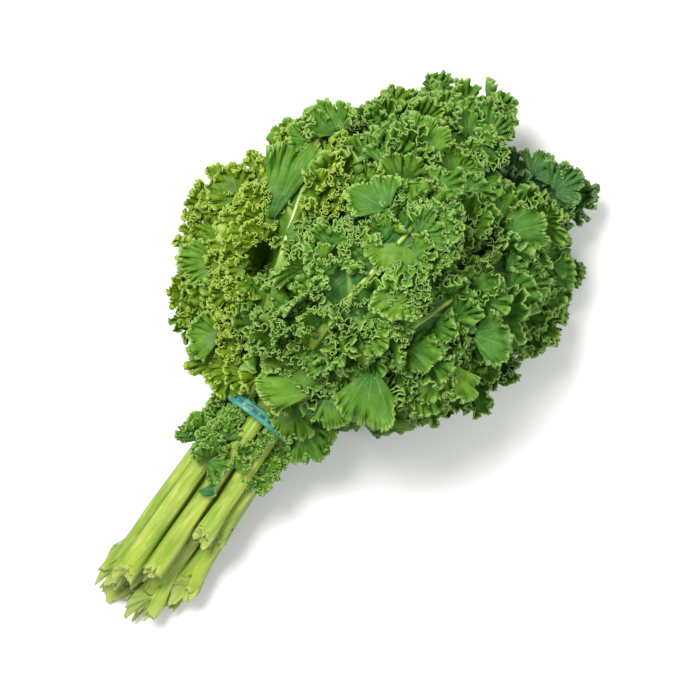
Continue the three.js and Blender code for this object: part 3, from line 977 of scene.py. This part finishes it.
def make_blade(number):
    """One leaf blade, over its pad's sheet, from just above the tie to the pad's far end."""
    stage, most_curl, crimp, columns, size, gap = LEAF_LOOKS[number]
    node = f"blade_{number:02d}"
    line = lines[number]
    pad = triangles_of(node).reshape(-1, 3)
    rib = resampled(line[line[:, 0] > TIE_X + BLADE_START], np.linspace(0, 1, 60))
    half = np.linalg.norm(pad[:, None, :2] - rib[None, :, :2], axis=-1).min(axis=1).max()
    ahead = unit(rib[-1, :2] - rib[-4, :2])
    tip = max(((pad[:, :2] - rib[-1, :2]) @ ahead).max(), 0)
    shape = leaf_shape(half, tip, (0, most_curl))
    height_at = fitted_sheet(node)
    sheet = leaf_shape(SHEET_SHARE * half, SHEET_SHARE * tip, (0, most_curl))
    sunk = sunk_in_hollows(height_at) if number > DEEPEST_LEAVES else height_at
    piece = leaf_mesh(f"kale_{node}", rib, sunk, sheet, waves_of(crimp), columns, 100 + number)
    finish_leaf(piece, stage, node)
    patch = Patch()
    rng = np.random.default_rng(300 + number)
    count = add_lobes(patch, number, stage, rib, height_at, shape, size * MM, gap * MM, rng)
    add_placed_lobes(patch, number, np.random.default_rng(500 + number))
    finish_leaf(patch.mesh(f"kale_{node}_lobes"), stage, node)
    print(node, "half width", round(half / MM), "tip", round(tip / MM), "lobes", count)


for number in range(1, LEAF_COUNT + 1):
    make_blade(number)

# %% [markdown]
# ## Stalks
# A stalk is a tube round its centre line. Its section is an ellipse with a shallow groove on top and soft
# ridges along its length. At the cut end the tube opens into a ragged scoop, and rings that shrink towards
# the centre close it. Pale fibres run along the skin.


# %% Stalk skin
FIBRE_STRETCH = 0.035  # the fibres' pattern is pulled out along X by one over this


def stalk_material():
    """Pale yellow-green skin with fibres along the stalk, greener towards the leaf, with a few specks."""
    material, graph = new_material("kale_stalk_skin")
    place = graph.place()
    along, rim, turned, torn = (graph.attribute(name) for name in ("along", "rim", "turned", "torn"))
    values = {0: place, 1: (FIBRE_STRETCH, 1, 1)}
    stretched = graph.add("ShaderNodeVectorMath", values, operation="MULTIPLY").outputs[0]
    fibres, streaks = graph.noise(stretched, 2.2 * MM), graph.noise(stretched, 8 * MM, 2.0)
    blotches = graph.noise(place, 30 * MM, 2.0)
    colour = graph.mix(graph.ramp(along, 0.3, 1.0), (0.31, 0.385, 0.04), (0.20, 0.30, 0.02))
    colour = graph.mix(graph.ramp(streaks, 0.35, 0.7), colour, (0.17, 0.29, 0.02))
    colour = graph.mix(graph.times(graph.ramp(fibres, 0.45, 0.75), 0.5), colour, (0.47, 0.54, 0.16))
    colour = graph.mix(graph.times(graph.ramp(blotches, 0.5, 0.8), 0.35), colour, (0.12, 0.22, 0.015))
    # Painted shade: the skin turns dark olive where it faces sideways and down, by the turned value, with an
    # uneven edge from the streaks.
    side_shade = graph.plus(turned, graph.times(graph.minus(streaks, 0.5), 0.5))
    colour = graph.mix(graph.times(graph.ramp(side_shade, 0.12, 0.55), 0.8), colour, (0.082, 0.145, 0.003))
    colour = graph.mix(graph.times(torn, 0.75), colour, (0.16, 0.28, 0.015))
    colour = graph.mix(graph.times(rim, 0.55), colour, (0.40, 0.46, 0.14))
    specks = graph.add("ShaderNodeTexVoronoi", {"Vector": place, "Scale": 1 / (15 * MM)}).outputs["Distance"]
    colour = graph.mix(graph.minus(1.0, graph.ramp(specks, 0.045, 0.075)), colour, (0.045, 0.04, 0.012))
    relief = graph.plus(fibres, graph.times(streaks, 0.7))
    bump = graph.add("ShaderNodeBump", {"Height": relief, "Strength": 0.35, "Distance": 0.5 * MM})
    graph.finish(graph.add("ShaderNodeBsdfPrincipled", {
        "Base Color": colour, "Roughness": 0.32, "Normal": bump.outputs[0], "Specular IOR Level": 0.5,
        "Subsurface Weight": 0.15, "Subsurface Scale": 3 * MM, "Subsurface Radius": (0.8, 1.0, 0.3),
    }))
    return material


STALK_SKIN = stalk_material()


# %% Stalk shape
def closed_strip(rows, columns):
    """The faces of a tube's grid, whose last column joins its first, with a fan on the last row at each end.
    The two poles are the points after the grid."""
    cells = np.arange(columns)
    after = (cells + 1) % columns
    ring = np.stack([cells, after, columns + after, columns + cells], axis=1)
    quads = [row * columns + ring for row in range(rows - 1)]
    first, last = rows * columns + 0 * cells, rows * columns + 1 + 0 * cells
    end = (rows - 1) * columns
    fans = [np.stack([first, after, cells], axis=1), np.stack([last, end + cells, end + after], axis=1)]
    return np.concatenate(quads), np.concatenate(fans)


STALK_ROWS, STALK_COLUMNS, SCOOP_ROWS = 96, 44, 6
END_ROWS, END_SHARE = 56, 0.3  # the rows near the cut end, and the share of the line that they cover
OPENING_LENGTH = 42 * MM  # how far from its cut end an open scoop has closed to a tube
GREEN_FROM = 150 * MM  # how far from its cut end a stalk has its leaf end's colour
THIN_HALVES = 1.5 * MM, 1.3 * MM  # half width and half thickness at the leaf end


def stalk_sizes(node, line):
    """A stalk's half width and half thickness along its line. Where it turns away from X, a straight taper
    replaces the measured width."""
    triangles = triangles_of(node)
    straight = line[:, 0] < TIE_X + 10 * MM
    rings = [cut_across(triangles, x) for x in line[straight, 0]]
    spans = np.array([(ring.max(axis=0) - ring.min(axis=0)) / 2 for ring in rings])
    taper = np.linspace(1, 0, (~straight).sum() + 1)[1:] ** 1.3
    sizes = zip(spans.T[1:], THIN_HALVES)
    return [np.concatenate([span, thin + (span[-1] - thin) * taper]) for span, thin in sizes]


def cut_shift(flare, angle, from_end, rng):
    """How far the points near the cut end move along the stalk: a slanted cut with a ragged edge. Both reach
    deeper where the end opens into a scoop."""
    round_end = np.append(angle[0], 2 * np.pi) * 3
    broad, fine = (1 - 2.2 * np.abs(wander(round_end, size, rng)[:-1]) for size in (2.4, 0.9))
    torn = (1.0 + 9 * flare) * MM * broad + (0.4 + 4.5 * flare) * MM * fine
    slant = (2.0 + 8 * flare) * MM * np.cos(angle)
    return (slant + torn[None, :]) * (1 - smoothstep(from_end, 0, (10 + 24 * flare) * MM)) ** 1.5


def scoop_rings(edge, tangent, flare):
    """Rings that close the cut end: they shrink from its edge to its middle, sunk into the stalk like a
    bowl."""
    rings = []
    for step in range(SCOOP_ROWS, 0, -1):
        share = 1 - (step / (SCOOP_ROWS + 1)) ** 1.4
        sunk = (0.8 + 7 * flare) * MM * (1 - share**2)
        rings.append(edge * share + edge.mean(axis=0) * (1 - share) + sunk * tangent)
    return np.array(rings)


def for_points(values, first, last):
    """A value for each point of a stalk, from a value for each row and the values at the two poles."""
    return np.append(np.repeat(values, STALK_COLUMNS), [first, last])


def make_stalk(number, flare):
    """One stalk. flare, from 0 to 1, is how far its cut end opens into a scoop."""
    rng = np.random.default_rng(700 + number)
    node = f"stalk_{number:02d}"
    line = lines[number]
    near = np.linspace(0, END_SHARE, END_ROWS, endpoint=False)
    places = np.concatenate([near, np.linspace(END_SHARE, 1, STALK_ROWS - END_ROWS)])
    measured = np.linspace(0, 1, len(line))
    wide, thick = (np.interp(places, measured, sizes)[:, None] for sizes in stalk_sizes(node, line))
    middle = resampled(line, places)
    length = np.linalg.norm(np.diff(line, axis=0), axis=1).sum()
    from_end = (places * length)[:, None]
    angle = np.linspace(0, 2 * np.pi, STALK_COLUMNS, endpoint=False)[None, :]
    upness, sideness = np.cos(angle), np.sin(angle)
    opening = flare * (1 - smoothstep(from_end, 0, OPENING_LENGTH)) ** 1.5
    ridges = 0.035 * np.cos(5 * angle + rng.uniform(0, 6))
    ridges = ridges + 0.03 * np.cos(8 * angle + rng.uniform(0, 6) + 18 * from_end)
    groove = np.exp(-((1 - upness) / 0.22) ** 1.2)
    radius = 1 + ridges - (0.07 + 0.5 * opening) * groove
    tangent = unit(np.gradient(middle, axis=0))
    side = unit(np.cross(np.array([0.0, 0, 1]), tangent))
    top = np.cross(tangent, side)
    swell = 1 + 0.06 * wander(from_end[:, 0], 30 * MM, rng)[:, None]
    wing = 1 + 0.75 * opening * np.abs(sideness) ** 3
    across = wide * radius * sideness * swell * wing
    height = thick * radius * upness * swell * (1 - 0.3 * opening)
    height = height + 3.5 * MM * opening * np.abs(sideness) ** 4
    shift = cut_shift(flare, angle, from_end, rng)
    points = middle[:, None] + across[..., None] * side[:, None]
    points = points + height[..., None] * top[:, None] + shift[..., None] * tangent[:, None]
    grid = pressed_up(np.concatenate([scoop_rings(points[0], tangent[0], flare), points]))
    every = np.concatenate([grid.reshape(-1, 3), [grid[0].mean(axis=0), grid[-1].mean(axis=0)]])
    along = np.concatenate([np.zeros(SCOOP_ROWS), np.clip(from_end[:, 0] / GREEN_FROM, 0, 1)])
    rim = np.concatenate([np.linspace(0.3, 1, SCOOP_ROWS), 1 - smoothstep(from_end[:, 0], 0, 3 * MM)])
    torn = np.concatenate([np.full(SCOOP_ROWS, flare), opening[:, 0]])
    # turned is 0 on top of the stalk and 1 underneath. The skin uses it to paint shade on the sides and
    # underside, and the scoop rings get a little of it.
    turned = np.concatenate([np.full((SCOOP_ROWS, STALK_COLUMNS), 0.2), (1 - upness) / 2 + 0 * from_end])
    named = {
        "along": for_points(along, 0, 1),
        "rim": for_points(rim, 0, 0),
        "turned": np.append(turned.reshape(-1), [0.2, 0]),
        "torn": for_points(torn, flare, 0),
    }
    piece = mesh_piece(f"kale_{node}", every, closed_strip(len(grid), STALK_COLUMNS), named)
    piece.data.materials.append(STALK_SKIN)
    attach(piece, "root")
    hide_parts(node)


# How far each stalk's cut end opens. The lower ones are torn off the stem with a piece of its sheath.
FLARES = (0.9, 0.8, 0.7, 0.6, 0.8, 1.0, 0.7, 0.25, 0.45, 0.3, 0.8, 0.25, 0.2, 0.15)
for number, flare in enumerate(FLARES, 1):
    make_stalk(number, flare)


# %% [markdown]
# ## Leaflets
# A leaflet on a stalk is a small tuft of frilled lobes along a short rib.


# %% Make the leaflets
def make_leaflet(number, count, size, side):
    """A tuft of lobes over the leaflet's own box, fanning out to the sides of the box's middle line."""
    rng = np.random.default_rng(800 + number)
    node = f"leaflet_{number:02d}"
    low, high = (np.array(corner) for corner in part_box(node))
    patch = Patch()
    for index in range(count):
        place = (index + 0.5) / count
        root = low + (high - low) * np.array([place, 0.5 - 0.4 * side, 0.35])
        turn = math.radians(side * rng.uniform(35, 120) if index % 3 else rng.uniform(-95, 95))
        rise = math.radians(rng.uniform(5, 60))
        out, top = directions_of(turn, rise)
        span, bend = math.radians(rng.uniform(45, 80)), rise - math.radians(rng.uniform(-20, 50))
        lobe_size = size * MM * rng.uniform(0.8, 1.2)
        add_fan(patch, root, out, top, lobe_size, rng, bend, span, columns=LEAFLET_COLUMNS)
    finish_leaf(patch.mesh(f"kale_{node}"), "full", node)


def make_scrap():
    """The scrap of leaf that lies on the stalks: one flat lobe across its box."""
    node = "leaflet_05"
    low, high = (np.array(corner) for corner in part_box(node))
    patch = Patch()
    out, top = directions_of(math.radians(-52), 0.0)
    root = (low + high) / 2 - out * 7 * MM + np.array([-4 * MM, 0, 2 * MM])
    rng = np.random.default_rng(805)
    bend, span = math.radians(12), math.radians(26)
    # The tone of -1.0 paints the scrap in the leaf's shaded colour: painted shade.
    add_fan(patch, root, out, top, 15 * MM, rng, bend, span, 0.1, SCRAP_COLUMNS, -1.0, 0.9)
    finish_leaf(patch.mesh(f"kale_{node}"), "old", node)


# Each leaflet's number of lobes, their size (mm) and the side that they grow to.
LEAFLETS = {1: (14, 14, 1), 2: (12, 14, 1), 3: (8, 9, -1), 4: (8, 11, -1)}
for number, looks in LEAFLETS.items():
    make_leaflet(number, *looks)
make_scrap()


# %% [markdown]
# ## The twist tie
# The ribbon is a strip round the ellipse of the tie. It has a ridge over its wire, it waves a little, and
# dashes are printed on it. At the side its two ends are twisted together.


# %% Tie materials
DASH_STEP, DASH_SHARE, DASH_HALF = 6.5 * MM, 0.62, 0.24  # step, a dash's share of it, and its half width


def ribbon_material():
    """Teal plastic with a soft shine and a broken row of dark dashes."""
    material, graph = new_material("tie_ribbon")
    around, width = graph.attribute("around"), graph.attribute("width")
    blotch = graph.ramp(graph.noise(graph.place(), 12 * MM), 0.35, 0.7)
    colour = graph.mix(blotch, (0.012, 0.16, 0.12), (0.05, 0.27, 0.21))
    step = graph.maths("FRACT", graph.times(around, 1 / DASH_STEP), 0.0)
    beside = graph.maths("ABSOLUTE", width, 0.0)
    dash, row = graph.maths("LESS_THAN", step, DASH_SHARE), graph.maths("LESS_THAN", beside, DASH_HALF)
    colour = graph.mix(graph.times(graph.times(dash, row), 0.9), colour, (0.006, 0.04, 0.035))
    graph.finish(graph.add("ShaderNodeBsdfPrincipled", {"Base Color": colour, "Roughness": 0.38}))
    return material


def wire_material():
    """Plain bright steel."""
    material, graph = new_material("tie_wire")
    values = {"Base Color": (0.55, 0.55, 0.54), "Metallic": 1.0, "Roughness": 0.35}
    graph.finish(graph.add("ShaderNodeBsdfPrincipled", values))
    return material


# %% Make the tie
def grid_quads(rows, columns, first=0):
    """The quads of an open grid."""
    row, column = np.meshgrid(np.arange(rows - 1), np.arange(columns - 1), indexing="ij")
    corner = (row * columns + column).reshape(-1) + first
    return np.stack([corner, corner + 1, corner + columns + 1, corner + columns], axis=1)


RIBBON_ROWS, LOOP_COLUMNS, END_COLUMNS = 11, 321, 60
RIBBON_THICK = 0.35 * MM
TWIST_LENGTH, TWIST_TURNS = 22 * MM, 1.75
TWIST_HALF = 2.4 * MM  # half the ribbon's width where it is twisted
WIRE_RADIUS, WIRE_SIDES, WIRE_STEPS = 0.4 * MM, 10, 160
TORUS_TUBE = 0.1  # tube radius of the ring that becomes the wire, before it is scaled


def ribbon_loop(middle, half, width):
    """The loop round the bundle: an ellipse with a ridge over the wire, soft ripples and a little sway."""
    rng = np.random.default_rng(900)
    ribbon_half = (tie_box[1][0] - tie_box[0][0]) / 2
    angle = np.linspace(0, 2 * np.pi, LOOP_COLUMNS)
    ends = np.abs(np.sin(angle / 2 + 0.02))
    ripple = 0.35 * MM * wander(angle, 0.22, rng) + 0.3 * MM * np.sin(9 * angle) * width
    ridge = 0.45 * MM * np.exp(-((width / 0.2) ** 2))
    cupped = -0.5 * MM * width**2
    reach = 1.3 * MM + ripple + ridge + cupped
    sway = 1.2 * MM * wander(angle, 0.8, rng) * ends
    x = middle[0] + ribbon_half * 0.98 * width + sway
    y = middle[1] + (half[1] + reach) * np.cos(angle)
    z = middle[2] + (half[2] + reach) * np.sin(angle)
    return np.stack([x, y, z], axis=-1)


def twisted_end(start, width, turn):
    """One end of the ribbon: a strip that turns about a line down from start and leans away from the other
    end at its tip. turn is how far round it begins, in half turns. Returns its points and their places along
    it."""
    along = unit(np.array([-0.1, -0.5, -0.86]))
    side = unit(np.cross(np.array([1.0, 0, 0]), along))
    front = np.cross(along, side)
    down = np.linspace(-1 * MM, TWIST_LENGTH, END_COLUMNS)
    spin = turn * np.pi + down / TWIST_LENGTH * TWIST_TURNS * 2 * np.pi
    splay = (0.4 + 1.6 * smoothstep(down, 15 * MM, TWIST_LENGTH)) * MM * (1 if turn else -1)
    reach = width * TWIST_HALF
    strip = start + down[None, :, None] * along + (reach * np.cos(spin))[..., None] * side
    return strip + (reach * np.sin(spin))[..., None] * front + splay[None, :, None] * front, down


def make_ribbon(middle, half):
    """The ribbon: its loop and its two twisted ends."""
    width = np.linspace(-1, 1, RIBBON_ROWS)[:, None]
    loop = ribbon_loop(middle, half, width)
    steps = np.linalg.norm(np.diff(loop[RIBBON_ROWS // 2], axis=0), axis=1)
    start = middle + np.array([0, -half[1] - 1.6 * MM, 0])
    strips = [(loop, np.concatenate([[0], np.cumsum(steps)]))]
    strips += [twisted_end(start, width, turn) for turn in (0.0, 0.55)]
    sizes = [strip.shape[0] * strip.shape[1] for strip, _ in strips]
    firsts = np.cumsum([0] + sizes)
    quads = [grid_quads(*strip.shape[:2], first) for (strip, _), first in zip(strips, firsts)]
    named = {
        "around": np.concatenate([(place + 0 * width).reshape(-1) for _, place in strips]),
        "width": np.concatenate([(width + 0 * place).reshape(-1) for _, place in strips]),
    }
    points = np.concatenate([strip.reshape(-1, 3) for strip, _ in strips])
    ribbon = mesh_piece("tie_ribbon", points, quads, named)
    ribbon.data.materials.append(ribbon_material())
    solid = ribbon.modifiers.new("thickness", "SOLIDIFY")
    solid.thickness = RIBBON_THICK
    solid.offset = 0
    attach(ribbon, "root")
    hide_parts("tie_band")


def make_wire(middle, half):
    """The wire: a torus whose ring is stretched to the ellipse inside the ribbon."""
    bpy.ops.mesh.primitive_torus_add(
        major_radius=1, minor_radius=TORUS_TUBE, major_segments=WIRE_STEPS, minor_segments=WIRE_SIDES,
    )
    wire = bpy.context.object
    wire.name = wire.data.name = "tie_wire_loop"
    torus = np.empty(len(wire.data.vertices) * 3)
    wire.data.vertices.foreach_get("co", torus)
    torus = torus.reshape(-1, 3)
    angle = np.arctan2(torus[:, 1], torus[:, 0])
    outward = (np.hypot(torus[:, 0], torus[:, 1]) - 1) / TORUS_TUBE * WIRE_RADIUS
    placed = np.stack([
        middle[0] + torus[:, 2] / TORUS_TUBE * WIRE_RADIUS,
        middle[1] + (half[1] - WIRE_RADIUS + outward) * np.cos(angle),
        middle[2] + (half[2] - WIRE_RADIUS + outward) * np.sin(angle),
    ], axis=1)
    wire.data.vertices.foreach_set("co", placed.reshape(-1))
    wire.data.polygons.foreach_set("use_smooth", np.ones(len(wire.data.polygons), dtype=bool))
    wire.data.materials.append(wire_material())
    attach(wire, "root")
    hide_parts("tie_wire")


low, high = (np.array(corner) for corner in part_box("tie_wire"))
make_ribbon((low + high) / 2, (high - low) / 2)
make_wire((low + high) / 2, (high - low) / 2)
